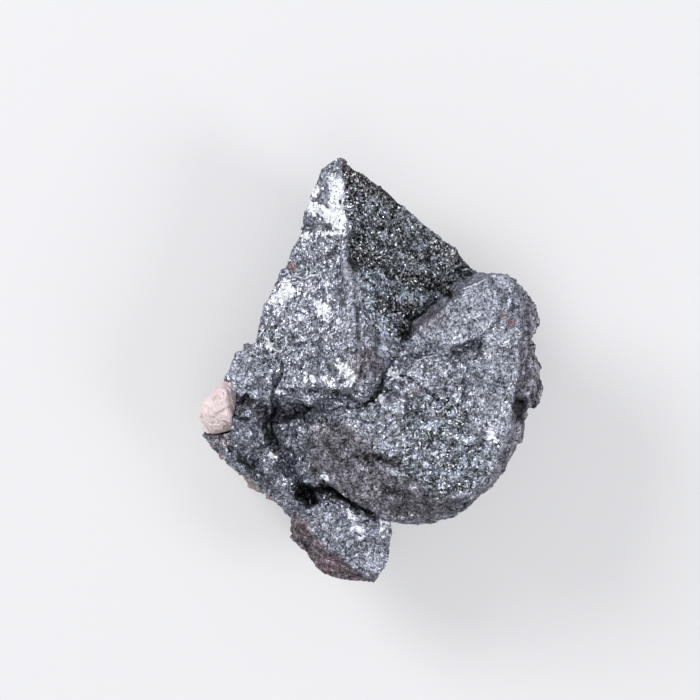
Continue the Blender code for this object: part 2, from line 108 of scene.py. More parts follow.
# Stretches of crevice that crystals have filled: half width, rise, and line.
FILLED = (
    (1.3, 0.7, [(2.9, 2.4), (2.0, 1.0), (1.0, -0.4), (-0.2, -2.0), (-1.2, -3.0)]),
    (0.9, 0.4, [(3.0, 1.6), (1.8, 0.4)]),
    (0.8, 0.4, [(3.6, 4.4), (5.0, 5.6), (6.8, 6.8), (8.8, 8.3)]),
    (0.9, 0.4, [(-7.6, -4.3), (-5.0, -4.5), (-2.0, -4.2)]),
    (0.7, 0.6, [(-7.2, -5.3), (-7.3, -7.9)]),
)

# Painted shade, in hollows and on faces turned from the light, where the surface is also sunk a little: how
# dark from 0 to 1, and outline.
PAINTED_SHADE_HOLLOWS = (
    (0.52, [(-2.8, 20.9), (-2.4, 21.2), (10.6, 10.2), (8.4, 7.6), (5.0, 8.2), (1.0, 9.6), (-2.2, 10.6),
            (-1.8, 14.0)]),
    (0.25, [(-7.5, 12.8), (-7.4, 17.0), (-4.2, 21.4), (-2.7, 21.2), (-2.7, 12.8)]),
    (0.60, [(-2.9, 20.7), (-2.5, 20.7), (-1.4, 17.0), (-2.0, 16.4), (-2.6, 18.0)]),
    (0.80, [(0.4, 18.4), (1.2, 18.6), (2.8, 17.0), (3.0, 16.2), (2.0, 16.4), (0.8, 17.2)]),
    (0.60, [(2.0, 15.8), (3.2, 16.2), (4.6, 14.4), (4.0, 12.8), (2.6, 12.4), (1.8, 14.0)]),
    (0.85, [(-2.0, 13.8), (-0.6, 14.0), (0.0, 12.4), (1.4, 11.4), (1.6, 10.2), (0.2, 10.0), (-2.0, 10.2),
            (-2.4, 12.0)]),
    (1.00, [(1.0, 10.2), (2.8, 9.8), (4.8, 9.6), (6.8, 9.1), (8.6, 8.6), (8.0, 7.2), (6.6, 7.8), (4.8, 8.1),
            (3.0, 8.6), (1.2, 9.3)]),
    (0.80, [(0.2, 8.0), (1.8, 7.2), (3.2, 6.4), (3.0, 5.2), (1.6, 5.8), (0.2, 6.8)]),
    (0.90, [(3.8, 6.4), (4.4, 5.8), (3.6, 4.0), (3.2, 2.2), (2.4, 1.9), (2.5, 3.2), (3.0, 5.0)]),
    (0.90, [(0.7, 0.1), (1.4, -0.1), (1.0, -1.8), (0.2, -3.2), (-1.0, -3.0), (0.0, -1.6)]),
    (0.60, [(-5.4, -2.0), (-2.7, -2.1), (-0.8, -2.6), (-1.0, -3.0), (-2.8, -2.6), (-5.4, -2.5)]),
    (0.60, [(-10.2, -3.6), (-9.4, -3.8), (-8.6, -4.2), (-7.4, -4.4), (-7.6, -5.0), (-8.4, -5.6),
            (-9.2, -6.4), (-9.4, -7.6), (-10.4, -7.4), (-10.6, -5.8), (-10.2, -4.4)]),
    (0.70, [(-13.6, -2.8), (-12.6, -2.6), (-11.6, -3.0), (-12.2, -3.6), (-13.2, -3.6)]),
    (0.55, [(-13.4, -8.2), (-12.2, -8.8), (-11.0, -10.0), (-9.8, -11.4), (-10.0, -12.4), (-11.6, -11.4),
            (-13.0, -10.0), (-13.8, -8.8)]),
    (1.00, [(-7.4, -11.0), (-6.0, -11.4), (-5.4, -13.0), (-6.4, -13.8), (-7.6, -13.0)]),
    (0.90, [(-5.4, -11.0), (-4.2, -11.4), (-2.2, -13.0), (0.4, -14.4), (0.2, -15.0), (-2.2, -13.7),
            (-4.2, -12.2), (-5.2, -11.8)]),
    (0.60, [(-7.6, -17.2), (-6.6, -17.4), (-6.0, -18.2), (-6.8, -18.4)]),
    (0.70, [(-1.0, -8.2), (1.4, -8.4), (3.2, -9.2), (2.8, -9.8), (0.8, -9.4), (-1.0, -9.0)]),
    (0.50, [(2.8, -10.4), (5.2, -10.8), (7.2, -11.8), (6.8, -12.4), (4.8, -11.8), (3.0, -11.2)]),
    (0.48, [(0.8, -11.6), (3.8, -12.0), (6.8, -12.6), (9.8, -13.0), (11.8, -12.2), (12.8, -11.4),
            (11.4, -13.0), (8.8, -14.2), (5.8, -14.8), (2.4, -14.6), (0.4, -13.0)]),
    (0.90, [(14.0, -3.0), (15.0, -2.8), (15.8, -4.2), (15.2, -5.6), (14.2, -5.0)]),
    (0.28, [(7.2, 1.6), (9.0, 2.3), (11.4, 3.4), (11.8, 2.6), (10.8, 1.2), (9.4, 0.6), (8.0, 0.8)]),
    (0.28, [(-7.2, -5.0), (-4.2, -4.2), (-2.0, -5.0), (-0.8, -7.0), (-1.6, -9.0), (-4.2, -10.8),
            (-6.6, -10.0), (-7.4, -7.0)]),
    (0.12, [(-9.2, -5.0), (-7.2, -4.2), (-6.8, -7.0), (-7.2, -10.0), (-8.6, -10.8), (-8.8, -8.0)]),
)

# Growth steps: half width, depth, and line.
STEPS = (
    (0.18, 0.25, [(-7.2, 14.4), (-5.6, 14.6), (-4.2, 14.1), (-3.0, 13.9)]),
    (0.25, 0.30, [(-1.7, 13.2), (0.6, 12.2)]),
    (0.30, 0.25, [(-2.0, 12.0), (-1.6, 10.8)]),
    (0.35, 0.45, [(-0.6, 10.8), (1.3, 10.2), (3.0, 9.7), (4.8, 8.9), (6.8, 7.9)]),
    (0.30, 0.35, [(0.0, 7.9), (1.1, 6.9), (2.0, 6.0), (3.0, 5.2)]),
    (0.20, 0.30, [(-1.9, -8.6), (-0.5, -8.7), (1.0, -9.1)]),
    (0.15, 0.30, [(-2.7, -15.8), (-1.6, -15.3), (-0.3, -15.0)]),
    (0.16, 0.30, [(2.6, -0.4), (4.0, -1.0), (5.2, -1.8), (7.0, -3.6)]),
    (0.14, 0.25, [(8.9, -1.4), (9.2, -3.0), (9.4, -4.8)]),
    (0.18, 0.30, [(4.3, 1.2), (5.6, 1.6), (6.7, 1.6), (7.9, 1.8), (9.7, 2.6), (11.4, 3.6)]),
    (0.16, 0.25, [(-1.0, -8.0), (0.6, -9.0), (2.4, -9.6), (4.4, -10.9), (6.6, -11.6)]),
)

# Thin growth layers: height, and outline.
LAYERS = (
    (0.22, [(3.9, 4.2), (7.5, 7.4), (10.6, 9.8), (13.6, 9.4), (12.8, 5.2), (12.0, 4.0), (10.6, 2.9),
            (8.8, 2.5), (7.5, 1.8), (6.4, 2.0)]),
    (0.12, [(-2.9, 12.0), (-1.5, 11.0), (-1.6, 8.0), (-2.4, 6.0), (-3.2, 6.6), (-3.0, 9.0)]),
)

# Where small crystals crowd together in blocks.
KNOT = [(-14.6, -4.4), (-10.6, -3.6), (-7.2, -5.6), (-6.8, -9.4), (-4.8, -11.2), (-7.0, -13.4),
        (-9.6, -12.2), (-13.6, -8.4)]

# More small crystals, in the knot and along the crevices: place and radius.
SMALL_CRYSTALS = (
    ((-12.2, -6.5), 2.0), ((-9.9, -8.9), 0.9), ((-6.2, -10.0), 1.9), ((-8.3, -11.4), 1.4),
    ((-10.4, -10.3), 1.2), ((-11.8, -3.4), 1.3), ((-8.3, -7.0), 1.3), ((-13.2, -4.6), 0.9),
    ((0.8, -2.8), 0.6), ((2.4, -0.6), 0.9), ((6.0, 7.4), 0.7), ((3.4, 0.2), 0.7), ((1.6, 2.2), 0.8),
)
SUNK = 0.2  # how far the middle of each lies under the surface, as a share of its radius

# How coarse the grain is, from 0 to 1, by outline. Later outlines lie over earlier ones.
USUAL_GRAIN = 0.42
GRAIN = (
    (1.00, [(-3.0, 21.0), (10.8, 10.2), (8.3, 7.3), (2.8, 2.5), (0.3, 4.0), (-1.6, 10.0), (-2.4, 13.5)]),
    (0.85, [(3.3, -2.8), (8.3, -2.5), (9.8, -6.0), (11.8, -8.0), (10.3, -11.5), (6.8, -12.5), (2.8, -10.0)]),
    (0.15, [(3.8, 4.5), (7.5, 7.5), (10.8, 10.0), (13.8, 9.5), (12.8, 5.2), (10.6, 2.9), (7.5, 1.8),
            (4.8, 3.0)]),
    (0.30, [(12.8, 7.0), (15.3, 8.0), (14.6, -2.0), (13.3, -7.0), (10.8, -5.0), (9.8, 0.0)]),
    (0.15, [(-14.3, 1.5), (-12.0, 2.6), (-10.2, 1.0), (-10.2, -3.0), (-13.0, -3.2), (-14.6, -1.5)]),
    (0.05, [(-2.9, 11.0), (-1.2, 11.0), (-1.1, 2.6), (-2.9, 2.6)]),
    (0.20, [(-7.3, 13.2), (-6.3, 19.0), (-3.1, 21.2), (-2.5, 13.0)]),
    (0.32, [(-6.7, -13.6), (-5.4, -11.9), (1.6, -15.0), (1.0, -20.0), (-6.0, -16.4)]),
    (0.33, KNOT),
    (0.90, [(-11.7, 3.5), (-9.2, 4.5), (-9.2, 1.0), (-11.0, 0.8)]),
    (0.08, [(15.1, 10.0), (15.2, 3.0), (14.8, -2.0), (13.6, -7.5), (20.0, -8.0), (20.0, 9.0)]),
    (0.25, [(-4.0, 22.5), (-1.2, 22.5), (-1.6, 20.0), (-3.4, 20.0)]),
)

# Where the stone is browned, from 0 to 1, by outline.
BROWNED = (
    (0.45, [(-6.7, -6.0), (-4.7, -4.8), (-2.2, -5.5), (0.3, -7.5), (2.3, -10.0), (5.3, -12.5), (9.3, -12.8),
            (6.8, -15.2), (2.3, -15.3), (-3.2, -12.5), (-6.2, -10.0)]),
    (0.45, [(15.4, 8.5), (15.0, 3.0), (14.6, -2.0), (13.9, -5.3), (12.9, -8.7), (11.5, -11.0), (9.5, -13.0),
            (10.0, -16.0), (20.0, -10.0), (20.0, 9.0)]),
    (0.95, [(-7.8, -14.2), (-6.6, -15.2), (-5.9, -16.6), (-5.0, -17.3), (-3.7, -18.5), (-2.2, -19.6),
            (-1.0, -20.5), (0.4, -21.2), (0.0, -23.0), (-9.0, -21.0), (-9.5, -17.0)]),
    (0.15, [(-2.9, 11.0), (-1.2, 11.0), (-1.1, 2.6), (-2.9, 2.6)]),
    (0.45, [(4.1, 4.0), (5.3, 5.5), (7.3, 6.5), (7.5, 5.2), (5.8, 3.8)]),
    (0.85, [(-2.9, 21.2), (-1.5, 20.6), (0.3, 19.0), (3.4, 16.3), (2.0, 16.2), (0.3, 17.4), (-1.8, 18.0),
            (-2.6, 19.0)]),
    (0.60, [(5.3, 13.8), (7.0, 13.2), (10.9, 10.1), (9.6, 9.6), (7.0, 11.3), (5.6, 12.4)]),
    (0.50, [(0.3, 2.5), (0.8, 0.5), (-1.0, -1.4), (-2.2, -1.8), (-2.2, 2.0)]),
    (0.20, [(-12.7, -3.5), (-10.2, -3.5), (-10.4, -5.5), (-12.2, -5.5)]),
    (0.60, [(-16.9, -6.2), (-13.7, -6.2), (-14.0, -8.0), (-15.7, -8.2)]),
    (0.15, [(-12.2, -6.2), (-10.8, -7.0), (-11.0, -8.5), (-12.2, -8.0)]),
    (0.25, [(-11.7, -9.2), (-9.7, -10.0), (-8.7, -13.0), (-10.4, -12.0)]),
)

# Smooth pale patches, by outline.
PALE_SPOTS = (
    [(-6.9, 17.0), (-6.0, 16.7), (-4.7, 16.4), (-3.7, 17.0), (-2.7, 16.3), (-2.6, 15.2), (-2.9, 14.2),
     (-3.4, 13.8), (-4.0, 14.5), (-5.0, 15.0), (-6.0, 15.4), (-6.6, 15.8)],
    [(-3.9, 19.8), (-3.1, 19.0), (-2.7, 17.5), (-3.0, 16.7), (-3.8, 17.2), (-4.2, 18.4)],
    [(-6.3, 18.7), (-5.4, 18.8), (-5.1, 17.8), (-6.0, 17.4)],
    [(-7.2, 13.9), (-6.0, 13.7), (-4.8, 13.8), (-2.9, 13.9), (-2.9, 13.6), (-4.8, 13.3), (-7.2, 13.4)],
    [(-8.9, 8.9), (-8.0, 8.6), (-7.3, 8.0), (-7.6, 7.3), (-8.2, 7.0), (-8.8, 6.6), (-9.6, 6.7), (-10.3, 7.0),
     (-9.9, 7.7)],
    [(-5.8, 7.0), (-5.0, 6.9), (-4.5, 6.1), (-4.1, 5.2), (-5.0, 4.9), (-5.6, 5.8)],
    [(-3.4, 1.0), (-2.7, 0.9), (-2.1, 0.0), (-1.7, -1.1), (-2.4, -1.5), (-3.0, -0.5)],
    [(-7.1, -0.8), (-6.2, -0.5), (-5.3, -0.9), (-6.1, -1.3)],
    [(-5.1, -0.7), (-3.8, -1.0), (-4.2, -1.5)],
    [(-11.0, 3.2), (-10.1, 2.9), (-9.8, 2.0), (-10.7, 2.1)],
    [(-9.7, -1.4), (-9.1, -1.8), (-9.2, -2.6), (-9.7, -2.3)],
    [(-2.2, -16.0), (-1.4, -15.5), (-0.8, -15.9), (-0.8, -16.7), (-1.5, -16.4)],
    [(-2.9, -13.8), (-2.2, -14.0), (-1.4, -14.8), (-2.0, -14.8)],
    [(0.8, -15.2), (1.5, -15.5), (1.4, -16.7), (0.9, -16.3)],
    [(11.5, -6.2), (12.4, -6.4), (12.4, -7.1), (11.6, -7.1)],
    [(-5.7, -10.8), (-4.8, -10.2), (-4.6, -11.0), (-5.4, -11.4)],
    [(-10.4, -8.2), (-9.6, -8.2), (-9.5, -8.9), (-10.2, -9.0)],
    [(0.5, -2.4), (1.1, -2.5), (1.0, -3.1), (0.5, -3.0)],
    [(1.8, -0.2), (2.6, 0.0), (2.9, -0.7), (2.1, -0.9)],
)

# Pale veins on the faces: half width, and the line that each follows.
VEINS = (
    (0.10, [(-8.6, 9.4), (-7.6, 9.3), (-6.7, 9.1), (-6.0, 9.4), (-5.2, 9.5), (-4.7, 8.8), (-4.4, 7.8),
            (-4.3, 6.5), (-4.0, 5.2)]),
    (0.08, [(-6.6, 10.5), (-6.4, 9.8), (-6.7, 9.1)]),
    (0.08, [(-6.9, 7.2), (-6.4, 7.7), (-5.6, 7.9), (-5.2, 8.4)]),
    (0.08, [(-4.5, 6.7), (-3.9, 7.1)]),
    (0.10, [(-4.4, 3.3), (-3.2, 4.1), (-2.5, 4.8)]),
    (0.08, [(-8.2, 6.7), (-6.9, 6.5), (-6.1, 6.4)]),
    (0.07, [(-7.2, 2.8), (-6.0, 3.2), (-5.4, 3.8)]),
    (0.08, [(9.0, 7.9), (10.3, 8.5), (11.7, 9.2)]),
    (0.07, [(4.1, 0.8), (5.4, 1.3), (6.8, 1.5)]),
    (0.08, [(-3.2, -15.8), (-2.0, -15.6)]),
    (0.08, [(-0.7, -19.6), (0.0, -19.9), (0.7, -20.2)]),
    (0.07, [(-9.0, -2.6), (-7.2, -2.8), (-6.0, -3.1)]),
)

# Rusty specks: place and radius.
RED_SPECKS = (((12.9, 5.5), 0.5), ((13.9, 4.6), 0.5), ((-8.0, 10.4), 0.6), ((4.4, -2.2), 0.4))


# Distances on the plan of the stone

def line_distance(places, line):
    """How far each place is from a line of straight stretches."""
    nearest = np.full(len(places), np.inf)
    for start, end in zip(line[:-1], line[1:]):
        start, way = np.array(start), np.array(end) - np.array(start)
        along = np.clip((places - start) @ way / (way @ way), 0.0, 1.0)
        nearest = np.minimum(nearest, np.linalg.norm(places - start - along[:, None] * way, axis=1))
    return nearest


def depth_inside(places, outline):
    """How far inside an outline each place is. Outside it is negative."""
    closed = [*outline, outline[0]]
    within = np.zeros(len(places), bool)
    for (x0, y0), (x1, y1) in zip(closed[:-1], closed[1:]):
        crosses = (places[:, 1] < y0) != (places[:, 1] < y1)
        at = x0 + (places[:, 1] - y0) * (x1 - x0) / ((y1 - y0) or 1.0)
        within ^= crosses & (places[:, 0] < at)
    nearest = line_distance(places, closed)
    return np.where(within, nearest, -nearest)


def fade(value, low, high):
    """A smooth change from 0 at the low value to 1 at the high one."""
    share = np.clip((value - low) / (high - low), 0.0, 1.0)
    return share * share * (3.0 - 2.0 * share)


def painted(places, base, table, softness):
    """Values laid over each other by outline, with soft edges."""
    value = np.full(len(places), base)
    for strength, outline in table:
        value += (strength - value) * fade(depth_inside(places, outline), -softness, softness)
    return value


# Helpers for meshes

def link(piece):
    """Puts an object into the scene."""
    bpy.context.scene.collection.objects.link(piece)
    return piece


def frozen(piece, name):
    """A plain mesh object with the piece's modifiers applied. The piece itself is removed."""
    graph = bpy.context.evaluated_depsgraph_get()
    graph.update()
    mesh = bpy.data.meshes.new_from_object(piece.evaluated_get(graph))
    bpy.data.objects.remove(piece)
    mesh.name = name
    return link(bpy.data.objects.new(name, mesh))


def merged_copy(node, name):
    """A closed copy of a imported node, whose own mesh is loose triangles."""
    bm = bmesh.new()
    bm.from_mesh(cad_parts[node].data)
    bmesh.ops.remove_doubles(bm, verts=bm.verts, dist=0.001 * MM)
    mesh = bpy.data.meshes.new(name)
    bm.to_mesh(mesh)
    bm.free()
    return link(bpy.data.objects.new(name, mesh))


def even_skin(piece, voxel):
    """The same solid with small even faces all over."""
    change = piece.modifiers.new("even_skin", "REMESH")
    change.mode = "VOXEL"
    change.voxel_size = voxel
    change.use_smooth_shade = False
    return frozen(piece, piece.name)


def triangles(piece):
    """Splits every face of a piece into triangles, across its shorter diagonal."""
    bm = bmesh.new()
    bm.from_mesh(piece.data)
    bmesh.ops.triangulate(bm, faces=bm.faces, quad_method="SHORT_EDGE")
    bm.to_mesh(piece.data)
    bm.free()


def read(mesh, what):
    """One row of three numbers for each point of the mesh, such as its place or its normal."""
    values = np.empty(len(mesh.vertices) * 3)
    mesh.vertices.foreach_get(what, values)
    return values.reshape(-1, 3)


def keep(mesh, name, values):
    """Notes a number on each point of the mesh, for the materials and the druse."""
    mesh.attributes.new(name, "FLOAT", "POINT").data.foreach_set("value", values.astype(np.float32))


def cloud(places, size, seed):
    """Soft noise between about -1 and 1 at each place, with features of this size in millimetres."""
    shift = Vector((seed, seed * 1.7, seed * 2.3))
    return np.array([noise.noise(Vector(p) / size + shift) for p in places]) * 1.6


def facets(places, size, slope, seed, stretch=(1.0, 1.0, 1.0)):
    """The heights of little flat facets: each cell of a pattern is a plane with its own tilt."""
    shift = Vector((seed, seed * 1.7, seed * 2.3))
    ones = Vector((1.0, 1.0, 1.0))
    heights = np.empty(len(places))
    for number, place in enumerate(places):
        spot = Vector([p / (size * s) for p, s in zip(place, stretch)]) + shift
        centre = noise.voronoi(spot)[1][0]
        heights[number] = (spot - centre).dot(noise.cell_vector(centre * 53.0) * 2.0 - ones)
    return heights * size * slope


# Node trees

class Tree:
    """A node tree built up by short calls. An input is a socket to link, or a plain value."""

    def __init__(self, tree):
        self.tree = tree

    def give(self, socket, value):
        """Links a socket to an input, or sets the input to a value."""
        if isinstance(value, bpy.types.NodeSocket):
            self.tree.links.new(value, socket)
        else:
            socket.default_value = value

    def node(self, kind, settings=None, **inputs):
        """A new node with these settings and inputs."""
        made = self.tree.nodes.new(kind)
        for key, value in (settings or {}).items():
            setattr(made, key, value)
        for key, value in inputs.items():
            self.give(made.inputs[key], value)
        return made

    def math(self, operation, *values):
        """A sum, product or other operation on numbers."""
        made = self.node("ShaderNodeMath", {"operation": operation})
        for socket, value in zip(made.inputs, values):
            self.give(socket, value)
        return made.outputs[0]

    def vector(self, operation, *values, scale=None):
        """The same on vectors, colours among them."""
        made = self.node("ShaderNodeVectorMath", {"operation": operation})
        for socket, value in zip(made.inputs, values):
            self.give(socket, value)
        if scale is not None:
            self.give(made.inputs["Scale"], scale)
        return made.outputs["Vector"]

    def mix(self, share, first, second):
        """The first colour, and the second by this share."""
        made = self.node("ShaderNodeMix", {"data_type": "RGBA"})
        for socket, value in zip((made.inputs[0], made.inputs[6], made.inputs[7]), (share, first, second)):
            self.give(socket, value)
        return made.outputs[2]

    def ramp(self, value, low, high, to_low=0.0, to_high=1.0):
        """A smooth change from one number to another as the value goes from low to high."""
        made = self.node("ShaderNodeMapRange", {"interpolation_type": "SMOOTHSTEP"}, Value=value)
        made.inputs["From Min"].default_value = low
        made.inputs["From Max"].default_value = high
        made.inputs["To Min"].default_value = to_low
        made.inputs["To Max"].default_value = to_high
        return made.outputs["Result"]

    def noted(self, name):
        """A number noted on the points of the mesh."""
        return self.node("ShaderNodeAttribute", {"attribute_name": name}).outputs["Fac"]

    def cloudy(self, coords, size, detail=4.0):
        """Cloudy noise whose features are about this size."""
        return self.node("ShaderNodeTexNoise", Vector=coords, Scale=1.0 / size, Detail=detail).outputs["Fac"]

    def winding(self, coords, size, width, on_line, off_line):
        """Thin winding lines: one value on them and another off them."""
        offset = self.vector("ADD", coords, (size * 7.0, size * 3.0, size * 5.0))
        away = self.math("ABSOLUTE", self.math("SUBTRACT", self.cloudy(offset, size, 2.0), 0.5))
        return self.ramp(away, 0.0, width, on_line, off_line)

    def cells(self, coords, size):
        """A random colour for each small cell of about this size."""
        return self.node("ShaderNodeTexVoronoi", Vector=coords, Scale=1.0 / size).outputs["Color"]

    def blades(self, coords, size):
        """Random colours for long thin cells, which point another way in each little area."""
        turn = self.vector("SCALE", self.cells(coords, size * 1.7), scale=math.tau)
        settings = {"rotation_type": "EULER_XYZ"}
        turned = self.node("ShaderNodeVectorRotate", settings, Vector=coords, Rotation=turn)
        stretched = self.vector("MULTIPLY", turned.outputs[0], (0.25, 1.0, 1.0))
        return self.cells(stretched, size * 0.3)


# The stone's skin

def wobbled(places):
    """Places on the plan, shifted a little by noise, so that drawn lines come out natural."""
    moved = places[:, :2].copy()
    for axis, seed in ((0, 3.0), (1, 17.0)):
        moved[:, axis] += 0.22 * cloud(places, 1.4, seed) + 0.14 * cloud(places, 0.5, seed + 5.0)
    return moved


def grain_of(places, plan, seen):
    """How coarse the grain is: as drawn on the seen side, and in cloudy patches elsewhere."""
    elsewhere = 0.35 + 0.4 * cloud(places, 5.0, 31.0)
    drawn = painted(plan, USUAL_GRAIN, GRAIN, 0.35)
    return np.clip(elsewhere + (drawn - elsewhere) * seen, 0.0, 1.0)


def brown_of(places, plan, seen):
    """How brown each place is, from 0 to 1: as drawn on the seen side, and in patches elsewhere."""
    elsewhere = fade(cloud(places, 6.0, 47.0), -0.1, 0.5) * 0.7
    drawn = painted(plan, 0.0, BROWNED, 0.4)
    return elsewhere + (drawn - elsewhere) * seen


def painted_shade_of(places, plan, seen):
    """How dark the painted shade is at each place, from 0 to 1: in drawn hollows on the seen side, and
    mottled all over.
    """
    elsewhere = 0.6 * fade(cloud(places, 2.5, 83.0), 0.2, 0.9)
    drawn = painted(plan, 0.0, PAINTED_SHADE_HOLLOWS, 0.25)
    mottled = 0.4 * fade(cloud(places, 1.3, 91.0), 0.1, 0.7)
    left_knot, toe = plan[:, 0] < -8.8, plan[:, 1] < -13.5
    mottled = np.where(left_knot | toe, 0.3 * mottled, mottled)
    return np.clip(elsewhere + (drawn - elsewhere) * seen + mottled, 0.0, 1.0)


def pale_spot_of(places, plan, seen):
    """How far inside a pale patch each place is, in millimetres."""
    drawn = np.full(len(plan), -2.0)
    for outline in PALE_SPOTS:
        drawn = np.maximum(drawn, depth_inside(plan, outline))
    elsewhere = (cloud(places, 3.4, 61.0) - 0.75) * 1.5
    return np.clip(elsewhere + (drawn - elsewhere) * seen, -2.0, 2.0)


def rust_of(plan, seen):
    """How far inside a rusty speck each place is, in millimetres."""
    drawn = np.full(len(plan), -1.0)
    for centre, radius in RED_SPECKS:
        drawn = np.maximum(drawn, radius - np.linalg.norm(plan - np.array(centre), axis=1))
    return drawn * seen - (1.0 - seen)


def relief_of(places, plan, seen, coarse, dark, smooth):
    """Height of the finished surface above the plain crystal, in millimetres.

    Waves and blocks are everywhere, and chips, grains and pits grow with the coarseness. The drawn lines
    and layers come last.
    """
    waves = cloud(places, 3.5, 7.0) * 0.14
    blocks = facets(places, 2.4, 0.12, 3.0)
    blocks += facets(places, 2.0, 0.26, 5.0) * seen * fade(depth_inside(plan, KNOT), -0.4, 0.4)
    chips = facets(places, 0.95, 0.13, 8.0, stretch=(1.3, 0.9, 1.0))
    grains = facets(places, 0.42, 0.30, 14.0)
    pits = np.maximum(0.0, cloud(places, 1.0, 23.0) - 0.62) * 0.8
    rough = (chips + grains) * (0.04 + 1.3 * coarse) * (1.0 - 0.6 * smooth)
    height = waves + blocks + rough - pits * coarse
    # The hollows of the painted shade also sink the surface a little.
    height -= 0.22 * dark
    for half_width, depth, line in (*CREVICES, *STEPS):
        height -= depth * seen * (1.0 - fade(line_distance(plan, line), half_width * 0.25, half_width))
    for half_width, rise, line in FILLED:
        height += rise * seen * (1.0 - fade(line_distance(plan, line), half_width * 0.3, half_width))
    for rise, outline in LAYERS:
        height += rise * seen * fade(depth_inside(plan, outline), -0.12, 0.12)
    return height


def smooth_where_fine(mesh, coarse, zones):
    """Rounds the shading where the grain is fine, but not on the angular crystals of the knot and toe."""
    corners = np.empty(len(mesh.polygons) * 3, int)
    mesh.polygons.foreach_get("vertices", corners)
    fine = (coarse < 0.34) & (zones != ZONES.index("druse_knot"))
    mesh.polygons.foreach_set("use_smooth", fine[corners.reshape(-1, 3)].all(axis=1))


def add_small_crystals(piece):
    """Sets angular little crystals into the surface of a piece."""
    bm = bmesh.new()
    bm.from_mesh(piece.data)
    surface = BVHTree.FromBMesh(bm)
    chance = random.Random(SEED)
    for (x, y), radius in SMALL_CRYSTALS:
        spot = surface.ray_cast(Vector((x * MM, y * MM, ABOVE)), DOWN)[0]
        lean_x, lean_y = chance.uniform(-0.6, 0.0), chance.uniform(-0.6, 0.0)
        turn = Euler((lean_x, lean_y, chance.uniform(0.0, math.tau)))
        set_in = Matrix.Translation(spot + DOWN * SUNK * radius * MM) @ turn.to_matrix().to_4x4()
        # Its corners wind down from the top in golden turns, on a ball that is then pressed flat.
        corners = []
        for number in range(10):
            angle, height = number * 2.4, 0.9 - 0.2 * number
            around = math.sqrt(1.0 - height * height)
            corner = Vector((around * math.cos(angle), 0.8 * around * math.sin(angle), 0.65 * height))
            corners.append(bm.verts.new(set_in @ (corner * radius * chance.uniform(0.8, 1.0) * MM)))
        bmesh.ops.convex_hull(bm, input=corners)
    bmesh.ops.recalc_face_normals(bm, faces=bm.faces)
    bm.to_mesh(piece.data)
    bm.free()
    return piece


def stone_skin(finish):
    """The whole hematite cluster as one closed skin, with its grain, cracks and marks."""
    copy = add_small_crystals(merged_copy("hematite_cluster", "hematite_skin"))
    skin = even_skin(copy, STONE_VOXEL)
    mesh = skin.data
    places, normals = read(mesh, "co") / MM, read(mesh, "normal")
    plan = wobbled(places)
    seen = fade(normals[:, 2], -0.35, 0.05)  # 1 on the side that the marks are drawn for
    coarse = grain_of(places, plan, seen)
    scuff = pale_spot_of(places, plan, seen)
    dark = painted_shade_of(places, plan, seen)
    relief = relief_of(places, plan, seen, coarse, dark, fade(scuff, -0.2, 0.3))
    aside = np.random.default_rng(SEED).uniform(-SIDEWAYS, SIDEWAYS, places.shape)
    aside -= normals * np.sum(aside * normals, axis=1)[:, None]
    moved = places + normals * relief[:, None] + aside
    moved[:, 2] = np.maximum(moved[:, 2], 0.0)
    mesh.vertices.foreach_set("co", (moved * MM).ravel())
    keep(mesh, "coarse", coarse)
    keep(mesh, "brown", brown_of(places, plan, seen))
    # Painted shade, noted for the material.
    keep(mesh, "dark", dark)
    keep(mesh, "scuff", scuff)
    keep(mesh, "rust", rust_of(plan, seen))
    keep(mesh, "cover", cover_of(places, coarse, scuff))
    zones = zones_of(places, normals)
    mesh.attributes.new("zone", "INT", "POINT").data.foreach_set("value", zones)
    mesh.update()
    triangles(skin)
    smooth_where_fine(skin.data, coarse, zones)
    skin.data.materials.clear()
    skin.data.materials.append(finish)
    return skin


# The druse

ZONES = ("druse_peak", "druse_slab", "druse_knot", "druse_back")
DRUSE_INPUTS = {
    "Zone": "NodeSocketInt",
    "Crystals per square metre": "NodeSocketFloat",
    "Smallest": "NodeSocketFloat",
    "Largest": "NodeSocketFloat",
    "Lean": "NodeSocketFloat",
    "Seed": "NodeSocketInt",
    "Crystal": "NodeSocketObject",
    "Finish": "NodeSocketMaterial",
}
CRYSTALS_PER_SQUARE_METRE = (7.8e7, 1.2e8, 1.1e8, 3.4e7)


def zones_of(places, normals):
    """Which piece of druse covers each spot: peak 0, slab 1, knot and toe 2, underside 3."""
    x, y = places[:, 0], places[:, 1]
    zone = np.where((y > 0.9 * x - 1.0) & (y > -4.4), 0, 1)
    zone[((x < -8.8) & (y < 1.0)) | (y < -15.0) | (x + y < -14.0)] = 2
    zone[normals[:, 2] < -0.1] = 3
    return zone.astype(np.int32)


def cover_of(places, coarse, scuff):
    """How thickly the druse grows: with the coarseness, in patches, and not on the pale patches."""
    patchy = 0.75 + 0.6 * cloud(places, 1.8, 71.0)
    cover = np.clip((coarse ** 2.0) * patchy, 0.01, 1.2) * (1.0 - fade(scuff, -0.25, 0.05))
    for _, line in VEINS:
        cover *= fade(line_distance(places[:, :2], line), 0.15, 0.4)
    beside_rock = (places[:, 0] < -13.4) & (places[:, 1] < -0.8) & (places[:, 1] > -6.6)
    return np.where(beside_rock, 0.0, cover)


